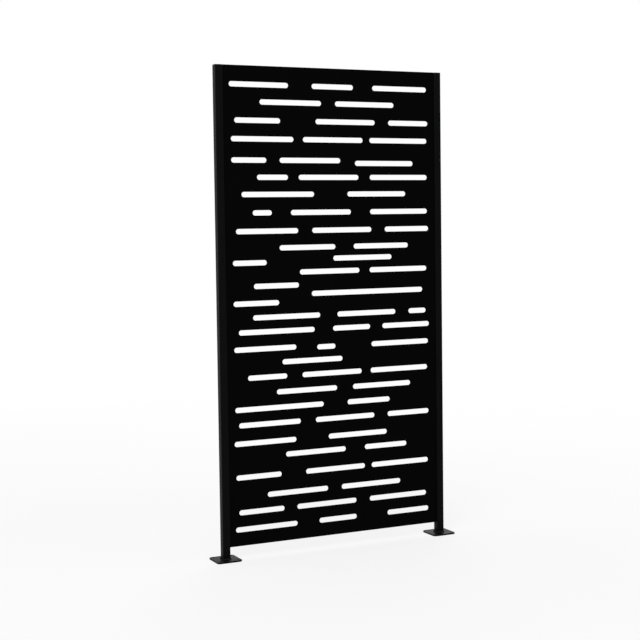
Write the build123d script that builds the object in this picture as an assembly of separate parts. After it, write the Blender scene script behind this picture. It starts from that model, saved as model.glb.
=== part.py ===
from build123d import *
import os

# One bay of a steel privacy screen: a slotted sheet on a welded angle frame,
# screwed between two square posts that stand on base plates.
# X runs along the bay, Y goes back from the front face, Z is up.
# The origin is on the ground, at the middle of the left post's base plate.

# Slotted sheet
sheet_width = 914.0
sheet_height = 1829.0
sheet_thickness = 2.0
slot_height = 20.0
side_margin = 25.0
top_margin = 71.0
bottom_margin = 63.0
least_web = 10.0

# Angle bar: the frame behind the sheet's edges and the rails across its back
angle_leg = 20.0
angle_thickness = 3.0
angle_root_radius = 3.0

# Holes in the side angles for the screws that go into the posts
screws_per_side = 3
screw_hole_diameter = 6.5
screw_end_distance = 150.0
screw_edge_distance = 8.0

# Posts, caps and base plates
post_size = 30.0
post_wall = 2.0
post_corner_radius = 3.0
cap_head = 3.0
cap_chamfer = 1.0
cap_skirt_depth = 18.0
cap_skirt_wall = 1.5
cap_play = 0.3
plate_size = 100.0
plate_thickness = 6.0
plate_corner_cut = 8.0
plate_hole_diameter = 9.0
plate_hole_spacing = 74.0

# Fit of the panel between the posts
ground_gap = 50.0
side_play = 0.5

# Places that follow from the sizes
panel_depth = sheet_thickness + angle_leg
sheet_front = -panel_depth / 2
sheet_back = sheet_front + sheet_thickness
panel_left = post_size / 2 + side_play
panel_middle = panel_left + sheet_width / 2
panel_centre_height = ground_gap + sheet_height / 2
post_spacing = sheet_width + 2 * side_play + post_size
post_top = ground_gap + sheet_height - cap_head
field_width = sheet_width - 2 * side_margin
field_height = sheet_height - top_margin - bottom_margin

# The slot pattern is drawn in steps on a field inside the plain margins.
# Each row gives its drop from the top of the field, then the start and the length
# of each of its slots, all counted in steps. Most slots are 52 or 38 steps long.
pattern_step = 5.0
pattern_columns = 173
slot_rows = (
    (0, ((0, 49), (69, 36), (122, 49))),
    (13, ((25, 52), (89, 52))),
    (27, ((4, 38), (72, 52), (136, 36))),
    (41, ((1, 52), (61, 52), (119, 52))),
    (57, ((1, 29), (41, 52))),
    (59, ((106, 52),)),
    (70, ((22, 26), (57, 52), (119, 52))),
    (83, ((9, 61), (99, 52))),
    (97, ((18, 16), (50, 52), (119, 52))),
    (111, ((4, 52), (68, 52), (132, 40))),
    (124, ((40, 48), (104, 49))),
    (133, ((86, 52),)),
    (135, ((1, 28),)),
    (143, ((57, 52), (118, 52))),
    (153, ((18, 38),)),
    (160, ((67, 99),)),
    (166, ((1, 38),)),
    (177, ((17, 57), (89, 52), (153, 16))),
    (188, ((5, 64), (85, 33), (129, 43))),
    (201, ((1, 52),)),
    (202, ((71, 16), (119, 52))),
    (212, ((41, 52),)),
    (223, ((12, 33), (58, 52), (118, 52))),
    (235, ((36, 52), (102, 52))),
    (247, ((1, 75), (97, 38))),
    (259, ((4, 52), (69, 52), (133, 38))),
    (273, ((0, 52), (80, 52))),
    (284, ((43, 52), (112, 38))),
    (299, ((1, 38), (60, 52), (118, 52))),
    (314, ((27, 52), (91, 53))),
    (326, ((3, 38), (52, 52), (116, 52))),
    (339, ((0, 52), (71, 33), (132, 38))),
)
pattern_lines = slot_rows[-1][0]

# The rails cross the back in two of the clear bands between rows, at these drops.
rail_drops = {"upper": 104, "lower": 229}


def drop_to_height(drop):
    """Height above the panel's middle of a drop that is counted in steps."""
    return sheet_height / 2 - top_margin - drop * field_height / pattern_lines


def spread_row(slots):
    """The row's slots as (start, length), with the metal between them stretched to the field."""
    slots = [(start * pattern_step, length * pattern_step) for start, length in slots]
    pattern_width = pattern_columns * pattern_step
    while slots:
        cut = sum(length for start, length in slots)
        stretch = (field_width - cut) / (pattern_width - cut)
        placed = []
        cut_before = 0.0
        for start, length in slots:
            placed.append((cut_before + (start - cut_before) * stretch, length))
            cut_before += length
        webs = [after[0] - before[0] - before[1] for before, after in zip(placed, placed[1:])]
        if stretch > 0 and min(webs, default=least_web) >= least_web:
            return placed
        slots.pop()
    return []


def slotted_sheet():
    """The front sheet with its staggered rows of round-ended slots."""
    slots = []
    for drop, row in slot_rows:
        for start, length in spread_row(row):
            middle = start + length / 2 - field_width / 2
            slots.append(Pos(middle, drop_to_height(drop)) * SlotOverall(length, slot_height))
    outline = Rectangle(sheet_width, sheet_height) - slots
    return extrude(outline, sheet_thickness, dir=(0, 0, -1))


def angle_bar(length):
    """Angle bar along X: its outer corner on the axis, one leg inwards, one leg to the back."""
    corners = (
        (0, 0),
        (angle_leg, 0),
        (angle_leg, -angle_thickness),
        (angle_thickness, -angle_thickness),
        (angle_thickness, -angle_leg),
        (0, -angle_leg),
    )
    section = Polygon(*corners, align=None)
    root = section.vertices().sort_by_distance((angle_thickness, -angle_thickness))[0]
    section = fillet(root, angle_root_radius)
    return extrude(Plane.YZ * section, length / 2, both=True)


def frame_angle(length):
    """One side of the frame, mitred at both ends."""
    bar = angle_bar(length)
    for end in (-1, 1):
        mitre = Plane(origin=(end * length / 2, 0, 0), z_dir=(-end, -1, 0))
        bar = split(bar, mitre, keep=Keep.TOP)
    return bar


def side_frame_angle(length):
    """A frame side with the holes for the screws into the post."""
    bar = frame_angle(length)
    run = length - 2 * screw_end_distance
    hole = Rot(90, 0, 0) * Cylinder(screw_hole_diameter / 2, 4 * angle_thickness)
    for index in range(screws_per_side):
        along = run * (index / (screws_per_side - 1) - 0.5)
        bar -= Pos(along, 0, screw_edge_distance - angle_leg) * hole
    return bar


def back_rail():
    """A rail between the frame's sides, its back leg coped to pass over their front legs."""
    rail = angle_bar(sheet_width - 2 * angle_leg)
    reach = sheet_width - 2 * (angle_thickness + angle_root_radius)
    depth = angle_leg - angle_thickness
    middle_depth = -angle_thickness - depth / 2
    rail += Pos(0, angle_thickness / 2, middle_depth) * Box(reach, angle_thickness, depth)
    return rail


def on_panel(shape, depth):
    """Stands a shape drawn on the XY plane up in the panel, at a depth from front to back."""
    panel_plane = Plane(
        origin=(panel_middle, depth, panel_centre_height),
        x_dir=(1, 0, 0),
        z_dir=(0, -1, 0),
    )
    return panel_plane * shape


def post():
    """A square tube from the top of its base plate to the underside of its cap."""
    tube = RectangleRounded(post_size, post_size, post_corner_radius)
    inner = post_size - 2 * post_wall
    tube -= RectangleRounded(inner, inner, post_corner_radius - post_wall)
    return Pos(0, 0, plate_thickness) * extrude(tube, post_top - plate_thickness)


def post_cap():
    """A plastic cap with a chamfered head and a skirt inside the tube."""
    head = extrude(RectangleRounded(post_size, post_size, post_corner_radius), cap_head)
    head = chamfer(head.faces().sort_by(Axis.Z)[-1].edges(), cap_chamfer)
    skirt_size = post_size - 2 * post_wall - 2 * cap_play
    skirt_inner = skirt_size - 2 * cap_skirt_wall
    skirt = Rectangle(skirt_size, skirt_size) - Rectangle(skirt_inner, skirt_inner)
    skirt = extrude(skirt, cap_skirt_depth, dir=(0, 0, -1))
    return Pos(0, 0, post_top) * (head + skirt)


def base_plate():
    """The square plate that a post is welded to, with clipped corners and four anchor holes."""
    outline = Rectangle(plate_size, plate_size)
    outline = chamfer(outline.vertices(), plate_corner_cut)
    holes = GridLocations(plate_hole_spacing, plate_hole_spacing, 2, 2)
    outline -= holes * Circle(plate_hole_diameter / 2)
    return extrude(outline, plate_thickness)


parts = {}
parts["slotted_sheet"] = on_panel(slotted_sheet(), sheet_front)

across = Pos(0, -sheet_height / 2) * frame_angle(sheet_width)
upright = Pos(0, -sheet_width / 2) * side_frame_angle(sheet_height)
parts["bottom_frame_angle"] = on_panel(across, sheet_back)
parts["right_frame_angle"] = on_panel(Rot(0, 0, 90) * upright, sheet_back)
parts["top_frame_angle"] = on_panel(Rot(0, 0, 180) * across, sheet_back)
parts["left_frame_angle"] = on_panel(Rot(0, 0, 270) * upright, sheet_back)

for rail_name, drop in rail_drops.items():
    top_edge = drop_to_height(drop) + angle_leg / 2
    rail = Pos(0, top_edge) * Rot(0, 0, 180) * back_rail()
    parts[rail_name + "_back_rail"] = on_panel(rail, sheet_back)

for side_name, place in (("left", 0.0), ("right", post_spacing)):
    parts[side_name + "_post"] = Pos(place, 0, 0) * post()
    parts[side_name + "_post_cap"] = Pos(place, 0, 0) * post_cap()
    parts[side_name + "_base_plate"] = Pos(place, 0, 0) * base_plate()

os.makedirs("parts", exist_ok=True)
for name, shape in parts.items():
    export_step(shape, "parts/" + name + ".step")
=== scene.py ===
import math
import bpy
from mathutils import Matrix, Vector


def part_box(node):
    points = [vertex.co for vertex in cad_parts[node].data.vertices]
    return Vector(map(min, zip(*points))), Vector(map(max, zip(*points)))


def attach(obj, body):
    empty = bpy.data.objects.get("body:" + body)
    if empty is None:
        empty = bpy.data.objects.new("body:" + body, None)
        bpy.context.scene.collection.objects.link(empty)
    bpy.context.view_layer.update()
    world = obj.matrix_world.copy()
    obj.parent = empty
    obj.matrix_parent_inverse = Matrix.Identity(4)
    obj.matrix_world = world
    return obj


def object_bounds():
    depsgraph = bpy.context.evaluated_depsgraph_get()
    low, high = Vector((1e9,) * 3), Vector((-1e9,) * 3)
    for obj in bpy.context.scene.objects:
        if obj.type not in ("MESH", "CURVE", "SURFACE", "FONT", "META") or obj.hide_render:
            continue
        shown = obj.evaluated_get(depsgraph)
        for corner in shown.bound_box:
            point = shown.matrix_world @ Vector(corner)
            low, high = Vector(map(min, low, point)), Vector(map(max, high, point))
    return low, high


bl_info = {
    "name": "Slotted Privacy Screen",
    "version": (1, 0, 0),
    "blender": (4, 5, 0),
    "location": "View3D > Sidebar > Screen",
    "description": "Powder coat, screws, welds and a studio for one bay of a slotted steel screen",
    "category": "Object",
}

import bmesh
import bpy
from bpy.props import FloatProperty, FloatVectorProperty, IntProperty, PointerProperty
from mathutils import Matrix, Vector

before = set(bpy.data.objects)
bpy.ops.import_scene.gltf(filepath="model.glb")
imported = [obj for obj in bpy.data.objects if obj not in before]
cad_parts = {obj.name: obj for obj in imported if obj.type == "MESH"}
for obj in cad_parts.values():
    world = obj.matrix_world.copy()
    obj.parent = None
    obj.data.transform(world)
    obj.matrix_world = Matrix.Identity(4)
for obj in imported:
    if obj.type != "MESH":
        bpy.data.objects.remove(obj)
cad_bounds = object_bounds()

UP = Vector((0, 0, 1))
ALONG = Vector((1, 0, 0))
BACK = Vector((0, 1, 0))

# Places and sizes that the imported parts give, in metres
sheet_low, sheet_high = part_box("slotted_sheet")
left_angle_low, left_angle_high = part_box("left_frame_angle")
right_angle_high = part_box("right_frame_angle")[1]
plate_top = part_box("left_base_plate")[1].z
angle_leg = left_angle_high.y - left_angle_low.y
bay_middle = (cad_bounds[0] + cad_bounds[1]) / 2

# The sheet's upright edges, each with the direction from it to the middle of the sheet
side_edges = ((sheet_low.x, ALONG), (sheet_high.x, -ALONG))

SHEET_NODES = ("slotted_sheet",)
FRAME_NODES = (
    "bottom_frame_angle",
    "right_frame_angle",
    "top_frame_angle",
    "left_frame_angle",
    "upper_back_rail",
    "lower_back_rail",
)
POST_NODES = ("left_post", "right_post", "left_base_plate", "right_base_plate")
CAP_NODES = ("left_post_cap", "right_post_cap")


# Settings


class CoatSettings(bpy.types.PropertyGroup):
    """Colours and surface of the black powder coat and of the moulded caps."""

    sheet_colour: FloatVectorProperty(
        name="Sheet colour",
        description="Colour of the matt coat on the slotted sheet",
        default=(0.0007, 0.0007, 0.00074),
        min=0,
        max=1,
        subtype="COLOR",
    )
    frame_colour: FloatVectorProperty(
        name="Frame colour",
        description="Colour of the satin coat on the angle frame and the rails",
        default=(0.0026, 0.0026, 0.0028),
        min=0,
        max=1,
        subtype="COLOR",
    )
    post_colour: FloatVectorProperty(
        name="Post colour",
        description="Colour of the satin coat on the posts and their base plates",
        default=(0.0012, 0.0012, 0.0013),
        min=0,
        max=1,
        subtype="COLOR",
    )
    cap_colour: FloatVectorProperty(
        name="Cap colour",
        description="Colour of the plastic in the post caps",
        default=(0.0028, 0.0028, 0.0029),
        min=0,
        max=1,
        subtype="COLOR",
    )
    dust_colour: FloatVectorProperty(
        name="Dust colour",
        description="Colour of the thin dust that settles on faces that look up",
        default=(0.16, 0.15, 0.13),
        min=0,
        max=1,
        subtype="COLOR",
    )
    # Light colour on the coat's edges: partly wear, partly a painted edge highlight
    rubbed_and_highlight_colour: FloatVectorProperty(
        name="Rubbed colour",
        description="Colour of the coat where the edges are rubbed",
        default=(0.10, 0.10, 0.105),
        min=0,
        max=1,
        subtype="COLOR",
    )
    peel_size: FloatProperty(
        name="Orange peel size",
        description="Width of the soft waves in the coat",
        default=0.0018,
        min=0.0002,
        unit="LENGTH",
        subtype="DISTANCE",
        precision=4,
    )
    grain_size: FloatProperty(
        name="Grain size",
        description="Width of the fine grains in the coat",
        default=0.0005,
        min=0.0001,
        unit="LENGTH",
        subtype="DISTANCE",
        precision=4,
    )
    cloud_size: FloatProperty(
        name="Cloud size",
        description="Width of the faint patches in the gloss",
        default=0.16,
        min=0.01,
        unit="LENGTH",
        subtype="DISTANCE",
    )
    edge_radius: FloatProperty(
        name="Edge radius",
        description="How far the coat rounds the metal's edges",
        default=0.0006,
        min=0.0,
        unit="LENGTH",
        subtype="DISTANCE",
        precision=4,
    )


class ScrewSettings(bpy.types.PropertyGroup):
    """Sizes of the self-drilling screws that hold the panel's sides to the posts."""

    screws_per_side: IntProperty(
        name="Screws per side",
        description="Screws in each side of the frame",
        default=3,
        min=2,
    )
    end_distance: FloatProperty(
        name="End distance",
        description="From the ends of the sheet to the outermost screws",
        default=0.150,
        unit="LENGTH",
        subtype="DISTANCE",
    )
    edge_distance: FloatProperty(
        name="Edge distance",
        description="From the back edge of the angle to the screws",
        default=0.008,
        unit="LENGTH",
        subtype="DISTANCE",
    )
    thread_diameter: FloatProperty(
        name="Thread diameter",
        description="Outer diameter of the thread",
        default=0.0055,
        unit="LENGTH",
        subtype="DISTANCE",
        precision=4,
    )
    thread_pitch: FloatProperty(
        name="Thread pitch",
        description="Distance from one turn of the thread to the next",
        default=0.0018,
        unit="LENGTH",
        subtype="DISTANCE",
        precision=4,
    )
    screw_length: FloatProperty(
        name="Screw length",
        description="From under the head to the tip",
        default=0.019,
        unit="LENGTH",
        subtype="DISTANCE",
    )
    head_width: FloatProperty(
        name="Head width",
        description="Width across the flats of the hexagon",
        default=0.008,
        unit="LENGTH",
        subtype="DISTANCE",
    )
    head_height: FloatProperty(
        name="Head height",
        description="Height of the hexagon above its flange",
        default=0.0042,
        unit="LENGTH",
        subtype="DISTANCE",
        precision=4,
    )
    flange_diameter: FloatProperty(
        name="Flange diameter",
        description="Diameter of the round flange under the hexagon",
        default=0.011,
        unit="LENGTH",
        subtype="DISTANCE",
    )
    flange_thickness: FloatProperty(
        name="Flange thickness",
        description="Thickness of the round flange under the hexagon",
        default=0.0011,
        unit="LENGTH",
        subtype="DISTANCE",
        precision=4,
    )


class WeldSettings(bpy.types.PropertyGroup):
    """Sizes of the weld beads at the feet, in the corners and behind the sheet."""

    angle_thickness: FloatProperty(
        name="Angle thickness",
        description="Thickness of the legs of the angle bar",
        default=0.003,
        unit="LENGTH",
        subtype="DISTANCE",
    )
    angle_root_radius: FloatProperty(
        name="Angle root radius",
        description="Radius in the inner corner of the angle bar",
        default=0.003,
        unit="LENGTH",
        subtype="DISTANCE",
    )
    post_corner_radius: FloatProperty(
        name="Post corner radius",
        description="Outer corner radius of the post's tube",
        default=0.003,
        unit="LENGTH",
        subtype="DISTANCE",
    )
    foot_leg: FloatProperty(
        name="Foot bead leg",
        description="Leg of the bead between a post and its base plate",
        default=0.0045,
        unit="LENGTH",
        subtype="DISTANCE",
        precision=4,
    )
    frame_leg: FloatProperty(
        name="Frame bead leg",
        description="Leg of the beads on the frame and the rails",
        default=0.0025,
        unit="LENGTH",
        subtype="DISTANCE",
        precision=4,
    )
    ripple_pitch: FloatProperty(
        name="Ripple pitch",
        description="Distance from one ripple of a bead to the next",
        default=0.0016,
        unit="LENGTH",
        subtype="DISTANCE",
        precision=4,
    )
    stitch_length: FloatProperty(
        name="Stitch length",
        description="Length of each short bead between the sheet and the frame",
        default=0.025,
        unit="LENGTH",
        subtype="DISTANCE",
    )
    side_stitches: IntProperty(
        name="Side stitches",
        description="Short beads along each side of the sheet",
        default=7,
        min=2,
    )
    end_stitches: IntProperty(
        name="End stitches",
        description="Short beads along the top, the bottom and each rail",
        default=4,
        min=2,
    )


class StudioSettings(bpy.types.PropertyGroup):
    """Floor, light and camera."""

    floor_colour: FloatVectorProperty(
        name="Floor colour",
        description="Colour of the pale floor",
        default=(0.86, 0.86, 0.86),
        min=0,
        max=1,
        subtype="COLOR",
    )
    floor_size: FloatProperty(
        name="Floor size",
        description="Width of the floor",
        default=60.0,
        unit="LENGTH",
        subtype="DISTANCE",
    )
    ambient_strength: FloatProperty(
        name="Ambient strength",
        description="Even light from all round",
        default=0.62,
        min=0,
    )
    key_power: FloatProperty(
        name="Key power",
        description="Large soft lamp in front, to the left and above",
        default=110.0,
        unit="POWER",
        subtype="POWER",
    )
    back_power: FloatProperty(
        name="Back power",
        description="Large soft lamp behind, to the right and above",
        default=80.0,
        unit="POWER",
        subtype="POWER",
    )
    camera_place: FloatVectorProperty(
        name="Camera place",
        description="Where the photograph was taken from",
        default=(-1.946, -4.869, 1.305),
        unit="LENGTH",
        subtype="TRANSLATION",
    )
    camera_turn: FloatProperty(
        name="Camera turn",
        description="How far the camera looks to the right of straight ahead",
        default=math.radians(25.865),
        unit="ROTATION",
        subtype="ANGLE",
    )
    camera_dip: FloatProperty(
        name="Camera dip",
        description="How far the camera looks down",
        default=math.radians(3.431),
        unit="ROTATION",
        subtype="ANGLE",
    )
    camera_roll: FloatProperty(
        name="Camera roll",
        description="How far the camera leans",
        default=math.radians(-0.735),
        unit="ROTATION",
        subtype="ANGLE",
    )
    camera_lens: FloatProperty(
        name="Camera lens",
        description="Focal length in millimetres on a 36 mm sensor",
        default=78.0,
        min=1,
    )
    camera_rise: FloatProperty(
        name="Camera rise",
        description="Vertical shift of the lens as a share of the picture",
        default=-0.03125,
    )


class ScreenSettings(bpy.types.PropertyGroup):
    """All settings of the screen."""

    coat: PointerProperty(type=CoatSettings)
    screw: PointerProperty(type=ScrewSettings)
    weld: PointerProperty(type=WeldSettings)
    studio: PointerProperty(type=StudioSettings)


# Materials

# How many times lighter than the coat its patches and its grains are
PATCH_LIGHTNESS = 1.5
GRAIN_LIGHTNESS = 3.0

# How strongly the grains show, and how far the roughness strays in the patches
GRAIN_SHARE = 0.6
ROUGHNESS_SPREAD = 0.05

# How many specks of dust, or of edge wear with painted edge highlight, lie across one patch
SPECKS_PER_PATCH = 12


def add_node(tree, kind, **values):
    """A new node with its named properties and sockets set."""
    node = tree.nodes.new(kind)
    for name, value in values.items():
        if name in node.inputs:
            node.inputs[name].default_value = value
        else:
            setattr(node, name, value)
    return node


def noise(tree, place, size, detail):
    """A noise whose patches are about as wide as size."""
    node = add_node(tree, "ShaderNodeTexNoise", Scale=1 / size, Detail=detail)
    tree.links.new(place, node.inputs["Vector"])
    return node.outputs["Fac"]


def remap(tree, value, old, new=(0.0, 1.0)):
    """The value stretched from its old range to a new one, and held inside it."""
    node = add_node(tree, "ShaderNodeMapRange")
    tree.links.new(value, node.inputs["Value"])
    for name, limit in zip(("From Min", "From Max", "To Min", "To Max"), (*old, *new)):
        node.inputs[name].default_value = limit
    return node.outputs["Result"]


def combine(tree, operation, first, second):
    """Two values combined by one of the Math node's operations."""
    node = add_node(tree, "ShaderNodeMath", operation=operation)
    tree.links.new(first, node.inputs[0])
    tree.links.new(second, node.inputs[1])
    return node.outputs["Value"]


def blend_colours(tree, share, first, second):
    """The first colour going over into the second by the share."""
    node = add_node(tree, "ShaderNodeMix", data_type="RGBA")
    sockets = {socket.identifier: socket for socket in node.inputs}
    tree.links.new(share, sockets["Factor_Float"])
    for name, colour in (("A_Color", first), ("B_Color", second)):
        if isinstance(colour, bpy.types.NodeSocket):
            tree.links.new(colour, sockets[name])
        else:
            sockets[name].default_value = (*colour, 1)
    return next(socket for socket in node.outputs if socket.identifier == "Result_Color")


def add_relief(tree, height, depth, normal=None, strength=1.0):
    """The surface's normal with a relief of that depth on it."""
    node = add_node(tree, "ShaderNodeBump", Strength=strength, Distance=depth)
    tree.links.new(height, node.inputs["Height"])
    if normal is not None:
        tree.links.new(normal, node.inputs["Normal"])
    return node.outputs["Normal"]


def new_material(name):
    """An empty material with its shader, and the object's own coordinates."""
    material = bpy.data.materials.new(name)
    material.use_nodes = True
    tree = material.node_tree
    tree.nodes.clear()
    output = add_node(tree, "ShaderNodeOutputMaterial")
    shader = add_node(tree, "ShaderNodeBsdfPrincipled")
    tree.links.new(shader.outputs["BSDF"], output.inputs["Surface"])
    place = add_node(tree, "ShaderNodeTexCoord").outputs["Object"]
    return material, tree, shader, place


def settled_dust(tree, normal, specks, dust):
    """How much dust lies in each place: most where the surface looks straight up."""
    facing = add_node(tree, "ShaderNodeSeparateXYZ")
    tree.links.new(normal, facing.inputs["Vector"])
    level = remap(tree, facing.outputs["Z"], (0.6, 1.0), (0.0, dust))
    return combine(tree, "MULTIPLY", level, remap(tree, specks, (0.35, 0.7), (0.3, 1.0)))


def worn_and_highlit_edges(tree, normal, rounded_normal, specks, rubbing):
    """How much the coat is worn and lightened by a painted edge highlight in each place: most
    where a rounded edge turns from its face.
    """
    turned = add_node(tree, "ShaderNodeVectorMath", operation="DOT_PRODUCT")
    tree.links.new(rounded_normal, turned.inputs[0])
    tree.links.new(normal, turned.inputs[1])
    # Painted edge highlight, partly standing for worn coat: edges turn lighter so their form shows
    wear = remap(tree, turned.outputs["Value"], (0.80, 0.99), (rubbing, 0.0))
    return combine(tree, "MULTIPLY", wear, remap(tree, specks, (0.35, 0.65), (0.2, 1.0)))


def textured_black(name, colour, roughness, gloss, peel_depth, grain_depth, dust, rubbing):
    """A black coat: soft waves, fine grain, cloudy gloss, worn edges lightened by a painted
    highlight, and a little dust.
    """
    coat = bpy.context.scene.privacy_screen.coat
    material, tree, shader, place = new_material(name)
    clouds = noise(tree, place, coat.cloud_size, detail=3.0)
    specks = noise(tree, place, coat.cloud_size / SPECKS_PER_PATCH, detail=5.0)
    grains = noise(tree, place, coat.grain_size, detail=2.0)
    waves = noise(tree, place, coat.peel_size, detail=1.0)
    normal = add_node(tree, "ShaderNodeNewGeometry").outputs["Normal"]
    bevel = add_node(tree, "ShaderNodeBevel", samples=4, Radius=coat.edge_radius)
    rounded_normal = bevel.outputs["Normal"]

    lighter = [channel * PATCH_LIGHTNESS for channel in colour]
    lightest = [channel * GRAIN_LIGHTNESS for channel in colour]
    patches = remap(tree, clouds, (0.35, 0.65))
    flecks = remap(tree, grains, (0.45, 0.65), (0.0, GRAIN_SHARE))
    settled = settled_dust(tree, normal, specks, dust)
    worn_and_highlit = worn_and_highlit_edges(tree, normal, rounded_normal, specks, rubbing)
    base = blend_colours(tree, patches, colour, lighter)
    base = blend_colours(tree, flecks, base, lightest)
    base = blend_colours(tree, settled, base, coat.dust_colour)
    # Lays the light colour on the edges: painted edge highlight together with wear
    base = blend_colours(tree, worn_and_highlit, base, coat.rubbed_and_highlight_colour)
    tree.links.new(base, shader.inputs["Base Color"])

    roughness_range = (roughness - ROUGHNESS_SPREAD, roughness + ROUGHNESS_SPREAD)
    cloudy = remap(tree, clouds, (0.3, 0.7), roughness_range)
    tree.links.new(cloudy, shader.inputs["Roughness"])
    shader.inputs["Specular IOR Level"].default_value = gloss

    peeled = add_relief(tree, waves, peel_depth, rounded_normal)
    grained = add_relief(tree, grains, grain_depth, peeled)
    tree.links.new(grained, shader.inputs["Normal"])
    return material


def black_zinc(name):
    """The dark plated steel of the screws, with faint bare wear."""
    plated = (0.045, 0.045, 0.05)
    bare = (0.12, 0.115, 0.11)
    roughness_range = (0.32, 0.5)
    patch_size = 0.002
    scratch_size = 0.0004
    scratch_depth = 0.00003
    material, tree, shader, place = new_material(name)
    tarnish = noise(tree, place, patch_size, detail=4.0)
    base = blend_colours(tree, remap(tree, tarnish, (0.45, 0.75)), plated, bare)
    tree.links.new(base, shader.inputs["Base Color"])
    tarnished = remap(tree, tarnish, (0.3, 0.7), roughness_range)
    tree.links.new(tarnished, shader.inputs["Roughness"])
    shader.inputs["Metallic"].default_value = 1.0
    scratches = noise(tree, place, scratch_size, detail=3.0)
    scratched = add_relief(tree, scratches, scratch_depth, strength=0.5)
    tree.links.new(scratched, shader.inputs["Normal"])
    return material


def named_material(name, maker, **finish):
    """The material of that name, made the first time it is asked for."""
    return bpy.data.materials.get(name) or maker(name, **finish)


def frame_coat():
    """The satin coat of the frame, the rails and their welds."""
    return named_material(
        "frame_satin_black",
        textured_black,
        colour=bpy.context.scene.privacy_screen.coat.frame_colour,
        roughness=0.44,
        gloss=0.17,
        peel_depth=0.00006,
        grain_depth=0.000015,
        dust=0.02,
        rubbing=0.6,
    )


def post_coat():
    """The satin coat of the posts, the base plates and their welds."""
    return named_material(
        "post_satin_black",
        textured_black,
        colour=bpy.context.scene.privacy_screen.coat.post_colour,
        roughness=0.40,
        gloss=0.04,
        peel_depth=0.00006,
        grain_depth=0.000015,
        dust=0.02,
        rubbing=0.6,
    )


def sheet_coat():
    """The fine matt coat of the slotted sheet."""
    return named_material(
        "sheet_matt_black",
        textured_black,
        colour=bpy.context.scene.privacy_screen.coat.sheet_colour,
        roughness=0.60,
        gloss=0.015,
        peel_depth=0.00003,
        grain_depth=0.00004,
        dust=0.01,
        rubbing=0.15,
    )


def cap_plastic():
    """The lightly textured plastic of the post caps."""
    return named_material(
        "cap_moulded_black",
        textured_black,
        colour=bpy.context.scene.privacy_screen.coat.cap_colour,
        roughness=0.55,
        gloss=0.07,
        peel_depth=0.00001,
        grain_depth=0.00005,
        dust=0.02,
        rubbing=0.2,
    )


def give_material(nodes, material):
    """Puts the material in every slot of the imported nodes."""
    for name in nodes:
        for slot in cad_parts[name].material_slots:
            slot.material = material


# Modelling

# Swell of a weld bead at its ends, at the crest of each ripple and between two ripples
END_SWELL = 0.55
CREST_SWELL = 1.08
FOOT_CREST_SWELL = 1.06
HOLLOW_SWELL = 0.94

# Fewest ripples in a straight bead and along each side of a foot
LEAST_RIPPLES = 3
LEAST_FOOT_RIPPLES = 2

# Fixed details of the welds, in metres
BEAD_SETBACK = 0.0008
MITRE_BEAD_HEIGHT = 0.0009
UNDER_BEAD_GAP = 0.0005
MERGE_DISTANCE = 0.00001

# Fixed details of a screw's head, in metres
FLANGE_TAPER = 0.0006
HEAD_BEVEL = 0.0005
HEAD_RIM = 0.0010
DISH_SLOPE = 0.0004
DISH_DEPTH = 0.0005

# Corners that make up each round section
FLANGE_CORNERS = 32
THREAD_CORNERS = 20
FILL_CORNERS = 10

# Angle between two faces above which their edge stays sharp
SHARP_ANGLE = math.radians(40)


def sweep(bm, section, frames):
    """Carries a closed section through a row of frames. Returns its first and last face."""
    first = bm.faces.new([bm.verts.new(frames[0] @ Vector(point)) for point in section])
    last = first
    for before, after in zip(frames, frames[1:]):
        grown = bmesh.ops.extrude_face_region(bm, geom=[last])["geom"]
        ring = {item for item in grown if isinstance(item, bmesh.types.BMVert)}
        bmesh.ops.transform(bm, matrix=after @ before.inverted(), verts=list(ring))
        faces = [item for item in grown if isinstance(item, bmesh.types.BMFace)]
        if last is not first:
            bmesh.ops.delete(bm, geom=[last], context="FACES_ONLY")
        last = next(face for face in faces if set(face.verts) == ring)
    return first, last


def axes(across, outward, onward, place):
    """A frame at a place, from its three directions."""
    turned = Matrix((across, outward, onward)).transposed().to_4x4()
    return Matrix.Translation(place) @ turned


def round_section(radius, corners):
    """Section of a round bar or bead."""
    turns = [math.tau * index / corners for index in range(corners)]
    return [(math.cos(turn) * radius, math.sin(turn) * radius, 0) for turn in turns]


def fillet_section(leg):
    """Section of a bead in a corner, sunk a little into both sides. Its face lags behind."""
    sink = 0.15 * leg
    lag = -0.35 * leg
    far = 0.70 * leg
    near = 0.42 * leg
    return (
        (-sink, -sink, 0),
        (leg, -sink, 0),
        (far, near, lag),
        (near, far, lag),
        (-sink, leg, 0),
    )


def flat_section(width, height):
    """Section of a low bead on a flat face, sunk a little into it. Its crown lags behind."""
    half = width / 2
    sink = 0.25 * height
    lag = -0.2 * width
    shoulder = 0.75 * half
    shoulder_height = 0.7 * height
    return (
        (-half, -sink, 0),
        (half, -sink, 0),
        (shoulder, shoulder_height, lag / 2),
        (0, height, lag),
        (-shoulder, shoulder_height, lag / 2),
    )


def rippled_frames(start, end, across, outward, pitch):
    """Frames along a straight bead that swell and shrink with its ripples."""
    run = end - start
    steps = 2 * max(LEAST_RIPPLES, round(run.length / pitch))
    here = axes(across, outward, run.normalized(), start)
    frames = []
    for index in range(steps + 1):
        swell = CREST_SWELL if index % 2 else HOLLOW_SWELL
        if index in (0, steps):
            swell = END_SWELL
        along = Matrix.Translation((0, 0, run.length * index / steps))
        frames.append(here @ along @ Matrix.Scale(swell, 4))
    return frames


def straight_bead(bm, section, start, end, across, outward, pitch):
    """One straight weld bead with closed ends."""
    sweep(bm, section, rippled_frames(start, end, across, outward, pitch))


def stitch_row(bm, weld, start, end, across, count):
    """Short beads spread evenly between two points, in the corner of the sheet and a leg's toe."""
    section = fillet_section(weld.frame_leg)
    run = end - start
    half_stitch = weld.stitch_length / 2 * run.normalized()
    for index in range(count):
        middle = start + run * ((index + 0.5) / count)
        ends = (middle - half_stitch, middle + half_stitch)
        straight_bead(bm, section, *ends, across, BACK, weld.ripple_pitch)


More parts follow.
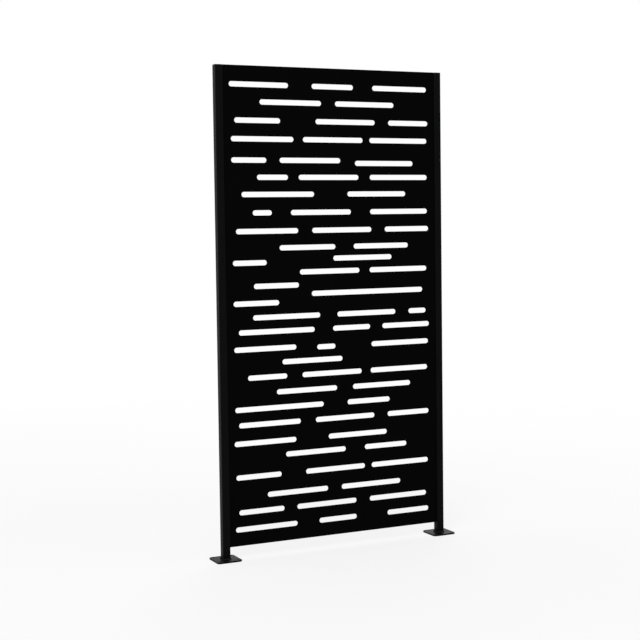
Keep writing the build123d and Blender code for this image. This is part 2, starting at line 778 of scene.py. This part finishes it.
def foot_frames(centre, half, radius, height, leg, pitch):
    """Frames round the foot of a post, from the middle of its front side and back to it."""
    flat = half - radius
    side = 2 * flat
    quarter = math.pi / 2 * (radius + leg / 2)
    lap = 4 * (side + quarter)
    ripples_per_side = max(LEAST_FOOT_RIPPLES, round(lap / pitch / 4))
    steps = 2 * 4 * ripples_per_side
    where = Matrix.Translation((centre.x, centre.y, height))
    stance = axes(-BACK, UP, ALONG, (0, 0, 0))
    frames = []
    for index in range(steps + 1):
        travelled = lap * (index % steps) / steps + flat
        number, rest = divmod(travelled, side + quarter)
        turn = Matrix.Rotation(number * math.pi / 2, 4, "Z")
        if rest <= side:
            local = Matrix.Translation((rest - flat, -half, 0))
        else:
            bend = Matrix.Rotation((rest - side) / quarter * math.pi / 2, 4, "Z")
            reach = Matrix.Translation((0, -radius, 0))
            local = Matrix.Translation((flat, -flat, 0)) @ bend @ reach
        swell = Matrix.Scale(FOOT_CREST_SWELL if index % 2 else HOLLOW_SWELL, 4)
        frames.append(where @ turn @ local @ stance @ swell)
    return frames


def screw_profile(screw):
    """Distance from the head of each ring of the shank, and its share of the thread's radius."""
    neck = 0.8
    core = 0.78
    crest = 1.0
    drill = 0.66
    point = 0.06
    turn_rings = ((0.35, core), (0.60, crest), (0.85, core))
    tip_rings = ((0.1, drill), (0.7, drill), (1.0, point))
    tip = 0.3 * screw.screw_length
    threaded = screw.screw_length - tip
    rings = [(0.0, neck)]
    for turn in range(int(threaded / screw.thread_pitch)):
        start = turn * screw.thread_pitch
        for share, swell in turn_rings:
            rings.append((start + share * screw.thread_pitch, swell))
    for share, swell in tip_rings:
        rings.append((threaded + share * tip, swell))
    return rings


def draw_screw(bm, screw, seat, inward):
    """One screw: hexagon head with a dished top, flange, thread and drill tip."""
    down = axes(inward.cross(UP), UP, inward, seat)
    out = down @ Matrix.Rotation(math.pi, 4, "X")
    bmesh.ops.create_cone(
        bm,
        cap_ends=True,
        cap_tris=False,
        segments=FLANGE_CORNERS,
        radius1=screw.flange_diameter / 2,
        radius2=screw.flange_diameter / 2 - FLANGE_TAPER,
        depth=screw.flange_thickness,
        matrix=out @ Matrix.Translation((0, 0, screw.flange_thickness / 2)),
    )
    height = screw.head_height + screw.flange_thickness / 2
    middle = screw.flange_thickness / 2 + height / 2
    hexagon = bmesh.ops.create_cone(
        bm,
        cap_ends=True,
        cap_tris=False,
        segments=6,
        radius1=screw.head_width / math.sqrt(3),
        radius2=screw.head_width / math.sqrt(3),
        depth=height,
        matrix=out @ Matrix.Translation((0, 0, middle)),
    )
    faces = {face for vert in hexagon["verts"] for face in vert.link_faces}
    top = min(faces, key=lambda face: face.normal.dot(inward))
    bmesh.ops.bevel(
        bm,
        geom=list(top.edges),
        offset=HEAD_BEVEL,
        offset_type="OFFSET",
        affect="EDGES",
        segments=2,
        profile=0.5,
        material=-1,
    )
    top = min(bm.faces, key=lambda face: face.calc_center_median().dot(inward))
    bmesh.ops.inset_individual(bm, faces=[top], thickness=HEAD_RIM, depth=0.0)
    bmesh.ops.inset_individual(bm, faces=[top], thickness=DISH_SLOPE, depth=-DISH_DEPTH)
    frames = [
        down @ Matrix.Translation((0, 0, depth)) @ Matrix.Diagonal((swell, swell, 1, 1))
        for depth, swell in screw_profile(screw)
    ]
    sweep(bm, round_section(screw.thread_diameter / 2, THREAD_CORNERS), frames)


def finish_piece(name, bm, material):
    """Turns a bmesh into a piece of the screen that rides with it."""
    bmesh.ops.recalc_face_normals(bm, faces=bm.faces)
    mesh = bpy.data.meshes.new(name)
    bm.to_mesh(mesh)
    bm.free()
    mesh.polygons.foreach_set("use_smooth", [True] * len(mesh.polygons))
    mesh.set_sharp_from_angle(angle=SHARP_ANGLE)
    mesh.materials.append(material)
    piece = bpy.data.objects.new(name, mesh)
    bpy.context.scene.collection.objects.link(piece)
    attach(piece, "root")


# Studio

# Places of the lamps from the bay's middle, and their width, in metres
KEY_LAMP_PLACE = Vector((-3.2, -3.4, 2.6))
BACK_LAMP_PLACE = Vector((2.6, 3.6, 2.4))
LAMP_WIDTH = 2.6

# Distances from the origin between which the floor fades to white, in metres
FADE_START = 1.2
FADE_END = 5.0

# Share of white in the floor, as it is seen, where the fade starts
NEAR_WHITE = 0.78


def seen_directly(tree):
    """A value that is one for camera, glossy and transmitted rays and nought for others."""
    rays = add_node(tree, "ShaderNodeLightPath").outputs
    seen = combine(tree, "MAXIMUM", rays["Is Camera Ray"], rays["Is Glossy Ray"])
    return combine(tree, "MAXIMUM", seen, rays["Is Transmission Ray"])


def pale_floor(studio):
    """The floor's material, with its fade to white away from the screen."""
    material, tree, shader, place = new_material("floor_pale")
    shader.inputs["Base Color"].default_value = (*studio.floor_colour, 1)
    shader.inputs["Roughness"].default_value = 0.9
    shader.inputs["Specular IOR Level"].default_value = 0.1
    away = add_node(tree, "ShaderNodeVectorMath", operation="LENGTH")
    tree.links.new(place, away.inputs[0])
    fade = remap(tree, away.outputs["Value"], (FADE_START, FADE_END), (NEAR_WHITE, 1.0))
    white = add_node(tree, "ShaderNodeEmission", Color=(1, 1, 1, 1), Strength=1.0)
    mixed = add_node(tree, "ShaderNodeMixShader")
    tree.links.new(combine(tree, "MULTIPLY", fade, seen_directly(tree)), mixed.inputs[0])
    tree.links.new(shader.outputs["BSDF"], mixed.inputs[1])
    tree.links.new(white.outputs["Emission"], mixed.inputs[2])
    output = next(node for node in tree.nodes if node.type == "OUTPUT_MATERIAL")
    tree.links.new(mixed.outputs["Shader"], output.inputs["Surface"])
    return material


def lay_floor(studio):
    """A wide pale floor, level with the underside of the base plates."""
    bm = bmesh.new()
    bmesh.ops.create_grid(bm, x_segments=1, y_segments=1, size=studio.floor_size / 2)
    mesh = bpy.data.meshes.new("floor")
    bm.to_mesh(mesh)
    bm.free()
    mesh.materials.append(pale_floor(studio))
    floor = bpy.data.objects.new("floor", mesh)
    bpy.context.scene.collection.objects.link(floor)


def light_world(studio):
    """Even light from all round, and a white background where it is seen."""
    world = bpy.data.worlds.new("studio")
    world.use_nodes = True
    tree = world.node_tree
    tree.nodes.clear()
    output = add_node(tree, "ShaderNodeOutputWorld")
    level = add_node(tree, "ShaderNodeBackground", Color=(1, 1, 1, 1))
    strength = remap(tree, seen_directly(tree), (0.0, 1.0), (studio.ambient_strength, 1.0))
    tree.links.new(strength, level.inputs["Strength"])
    tree.links.new(level.outputs["Background"], output.inputs["Surface"])
    bpy.context.scene.world = world


def hang_lamp(name, place, target, power):
    """A square area lamp that looks at the target."""
    lamp = bpy.data.lights.new(name, "AREA")
    lamp.size = LAMP_WIDTH
    lamp.energy = power
    holder = bpy.data.objects.new(name, lamp)
    holder.location = place
    holder.rotation_euler = (target - place).to_track_quat("-Z", "Y").to_euler()
    bpy.context.scene.collection.objects.link(holder)


def place_camera(studio):
    """The camera of the photograph."""
    lens = bpy.data.cameras.new("camera")
    lens.sensor_width = 36
    lens.lens = studio.camera_lens
    lens.shift_y = studio.camera_rise
    lens.clip_end = 200
    camera = bpy.data.objects.new("camera", lens)
    turn = Matrix.Rotation(-studio.camera_turn, 4, "Z")
    dip = Matrix.Rotation(math.pi / 2 - studio.camera_dip, 4, "X")
    roll = Matrix.Rotation(studio.camera_roll, 4, "Z")
    camera.matrix_world = Matrix.Translation(studio.camera_place) @ turn @ dip @ roll
    bpy.context.scene.collection.objects.link(camera)
    bpy.context.scene.camera = camera


# Operators


class PRIVACY_SCREEN_OT_coat_steelwork(bpy.types.Operator):
    """Give the sheet, the frame, the posts and the base plates their black powder coat"""

    bl_idname = "privacy_screen.coat_steelwork"
    bl_label = "Coat Steelwork"

    def execute(self, context):
        give_material(SHEET_NODES, sheet_coat())
        give_material(FRAME_NODES, frame_coat())
        give_material(POST_NODES, post_coat())
        return {"FINISHED"}


class PRIVACY_SCREEN_OT_finish_caps(bpy.types.Operator):
    """Give the post caps their moulded plastic"""

    bl_idname = "privacy_screen.finish_caps"
    bl_label = "Finish Post Caps"

    def execute(self, context):
        give_material(CAP_NODES, cap_plastic())
        return {"FINISHED"}


class PRIVACY_SCREEN_OT_fit_side_screws(bpy.types.Operator):
    """Fit the screws through the sides of the frame into the posts"""

    bl_idname = "privacy_screen.fit_side_screws"
    bl_label = "Fit Side Screws"

    def execute(self, context):
        settings = context.scene.privacy_screen
        screw = settings.screw
        thickness = settings.weld.angle_thickness
        depth = left_angle_high.y - screw.edge_distance
        lowest = sheet_low.z + screw.end_distance
        run = sheet_high.z - sheet_low.z - 2 * screw.end_distance
        sides = (
            ("left", left_angle_low.x + thickness, -ALONG),
            ("right", right_angle_high.x - thickness, ALONG),
        )
        for side, seat_x, inward in sides:
            for index in range(screw.screws_per_side):
                height = lowest + run * index / (screw.screws_per_side - 1)
                bm = bmesh.new()
                draw_screw(bm, screw, Vector((seat_x, depth, height)), inward)
                name = f"{side}_side_screw_{index + 1}"
                finish_piece(name, bm, named_material("screw_black_zinc", black_zinc))
        return {"FINISHED"}


class PRIVACY_SCREEN_OT_weld_post_feet(bpy.types.Operator):
    """Weld each post to its base plate all round"""

    bl_idname = "privacy_screen.weld_post_feet"
    bl_label = "Weld Post Feet"

    def execute(self, context):
        weld = context.scene.privacy_screen.weld
        for side in ("left", "right"):
            low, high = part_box(side + "_post")
            frames = foot_frames(
                centre=(low + high) / 2,
                half=(high.x - low.x) / 2,
                radius=weld.post_corner_radius,
                height=plate_top,
                leg=weld.foot_leg,
                pitch=weld.ripple_pitch,
            )
            bm = bmesh.new()
            ends = sweep(bm, fillet_section(weld.foot_leg), frames)
            bmesh.ops.delete(bm, geom=list(ends), context="FACES_ONLY")
            bmesh.ops.remove_doubles(bm, verts=bm.verts, dist=MERGE_DISTANCE)
            finish_piece(side + "_foot_weld", bm, post_coat())
        return {"FINISHED"}


class PRIVACY_SCREEN_OT_weld_frame_corners(bpy.types.Operator):
    """Weld the inside of the four mitred corners of the frame"""

    bl_idname = "privacy_screen.weld_frame_corners"
    bl_label = "Weld Frame Corners"

    def execute(self, context):
        weld = context.scene.privacy_screen.weld
        thickness = weld.angle_thickness
        face_back = left_angle_low.y + thickness
        mitre_width = 1.5 * weld.frame_leg
        corner_section = fillet_section(weld.frame_leg)
        mitre_section = flat_section(mitre_width, MITRE_BEAD_HEIGHT)
        bm = bmesh.new()
        for edge_x, across in side_edges:
            for edge_z, rise in ((sheet_low.z, UP), (sheet_high.z, -UP)):
                diagonal = across + rise
                corner = Vector((edge_x, 0, edge_z)) + thickness * diagonal
                start = corner + (face_back + weld.angle_root_radius) * BACK
                end = corner + (left_angle_high.y - BEAD_SETBACK) * BACK
                straight_bead(bm, corner_section, start, end, across, rise, weld.ripple_pitch)
                root = corner + face_back * BACK
                start = root + weld.angle_root_radius * diagonal
                end = root + (angle_leg - thickness - BEAD_SETBACK) * diagonal
                sideways = (across - rise).normalized()
                straight_bead(bm, mitre_section, start, end, sideways, BACK, weld.ripple_pitch)
        finish_piece("frame_corner_welds", bm, frame_coat())
        return {"FINISHED"}


class PRIVACY_SCREEN_OT_stitch_sheet(bpy.types.Operator):
    """Weld the back of the sheet to the frame and the rails with short beads"""

    bl_idname = "privacy_screen.stitch_sheet"
    bl_label = "Stitch Sheet to Frame"

    def execute(self, context):
        weld = context.scene.privacy_screen.weld
        bm = bmesh.new()
        for edge_x, across in side_edges:
            toe = Vector((edge_x, sheet_high.y, 0)) + angle_leg * across
            start = toe + sheet_low.z * UP
            end = toe + sheet_high.z * UP
            stitch_row(bm, weld, start, end, across, weld.side_stitches)
        level_toes = (
            (sheet_low.z + angle_leg, UP),
            (sheet_high.z - angle_leg, -UP),
            (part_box("upper_back_rail")[0].z, -UP),
            (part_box("lower_back_rail")[0].z, -UP),
        )
        for height, rise in level_toes:
            start = Vector((sheet_low.x, sheet_high.y, height))
            end = Vector((sheet_high.x, sheet_high.y, height))
            stitch_row(bm, weld, start, end, rise, weld.end_stitches)
        finish_piece("sheet_stitch_welds", bm, frame_coat())
        return {"FINISHED"}


class PRIVACY_SCREEN_OT_weld_rail_ends(bpy.types.Operator):
    """Weld the ends of both rails to the sides of the frame"""

    bl_idname = "privacy_screen.weld_rail_ends"
    bl_label = "Weld Rail Ends"

    def execute(self, context):
        weld = context.scene.privacy_screen.weld
        thickness = weld.angle_thickness
        face_back = left_angle_low.y + thickness
        gap = weld.angle_root_radius
        fill_radius = 0.56 * gap
        fill_start = face_back + 0.6 * gap
        under_start = thickness + gap + UNDER_BEAD_GAP
        fill_section = round_section(fill_radius, FILL_CORNERS)
        under_section = fillet_section(weld.frame_leg)
        bm = bmesh.new()
        for rail in ("upper_back_rail", "lower_back_rail"):
            rail_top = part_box(rail)[1].z
            for edge_x, across in side_edges:
                wall = Vector((edge_x, 0, rail_top - thickness / 2)) + thickness * across
                start = wall + gap / 2 * across + fill_start * BACK
                end = wall + gap / 2 * across + (left_angle_high.y - BEAD_SETBACK) * BACK
                straight_bead(bm, fill_section, start, end, across, UP, weld.ripple_pitch)
                root = Vector((edge_x, face_back, rail_top - thickness))
                start = root + under_start * across
                end = root + (angle_leg - BEAD_SETBACK) * across
                straight_bead(bm, under_section, start, end, -UP, BACK, weld.ripple_pitch)
        finish_piece("rail_end_welds", bm, frame_coat())
        return {"FINISHED"}


class PRIVACY_SCREEN_OT_set_studio(bpy.types.Operator):
    """Lay the floor, hang the lamps and place the camera"""

    bl_idname = "privacy_screen.set_studio"
    bl_label = "Set Studio"

    def execute(self, context):
        studio = context.scene.privacy_screen.studio
        lay_floor(studio)
        light_world(studio)
        centre = Vector((bay_middle.x, 0, bay_middle.z))
        hang_lamp("key_lamp", centre + KEY_LAMP_PLACE, centre, studio.key_power)
        hang_lamp("back_lamp", centre + BACK_LAMP_PLACE, centre, studio.back_power)
        place_camera(studio)
        context.scene.view_settings.view_transform = "Standard"
        return {"FINISHED"}


# Panel and registration


class PRIVACY_SCREEN_PT_panel(bpy.types.Panel):
    """Settings and steps of the slotted privacy screen."""

    bl_idname = "PRIVACY_SCREEN_PT_panel"
    bl_label = "Slotted Privacy Screen"
    bl_space_type = "VIEW_3D"
    bl_region_type = "UI"
    bl_category = "Screen"

    def draw(self, context):
        settings = context.scene.privacy_screen
        for group in (settings.coat, settings.screw, settings.weld, settings.studio):
            box = self.layout.box()
            for name in group.bl_rna.properties.keys():
                if name not in ("rna_type", "name"):
                    box.prop(group, name)
        for step in STEPS:
            self.layout.operator(step.bl_idname)


STEPS = (
    PRIVACY_SCREEN_OT_coat_steelwork,
    PRIVACY_SCREEN_OT_finish_caps,
    PRIVACY_SCREEN_OT_fit_side_screws,
    PRIVACY_SCREEN_OT_weld_post_feet,
    PRIVACY_SCREEN_OT_weld_frame_corners,
    PRIVACY_SCREEN_OT_stitch_sheet,
    PRIVACY_SCREEN_OT_weld_rail_ends,
    PRIVACY_SCREEN_OT_set_studio,
)

CLASSES = (
    CoatSettings,
    ScrewSettings,
    WeldSettings,
    StudioSettings,
    ScreenSettings,
    *STEPS,
    PRIVACY_SCREEN_PT_panel,
)


def register():
    for cls in CLASSES:
        bpy.utils.register_class(cls)
    bpy.types.Scene.privacy_screen = PointerProperty(type=ScreenSettings)


def unregister():
    del bpy.types.Scene.privacy_screen
    for cls in reversed(CLASSES):
        bpy.utils.unregister_class(cls)


def main():
    register()
    bpy.ops.privacy_screen.coat_steelwork()
    bpy.ops.privacy_screen.finish_caps()
    bpy.ops.privacy_screen.fit_side_screws()
    bpy.ops.privacy_screen.weld_post_feet()
    bpy.ops.privacy_screen.weld_frame_corners()
    bpy.ops.privacy_screen.stitch_sheet()
    bpy.ops.privacy_screen.weld_rail_ends()
    bpy.ops.privacy_screen.set_studio()


if __name__ == "__main__":
    main()
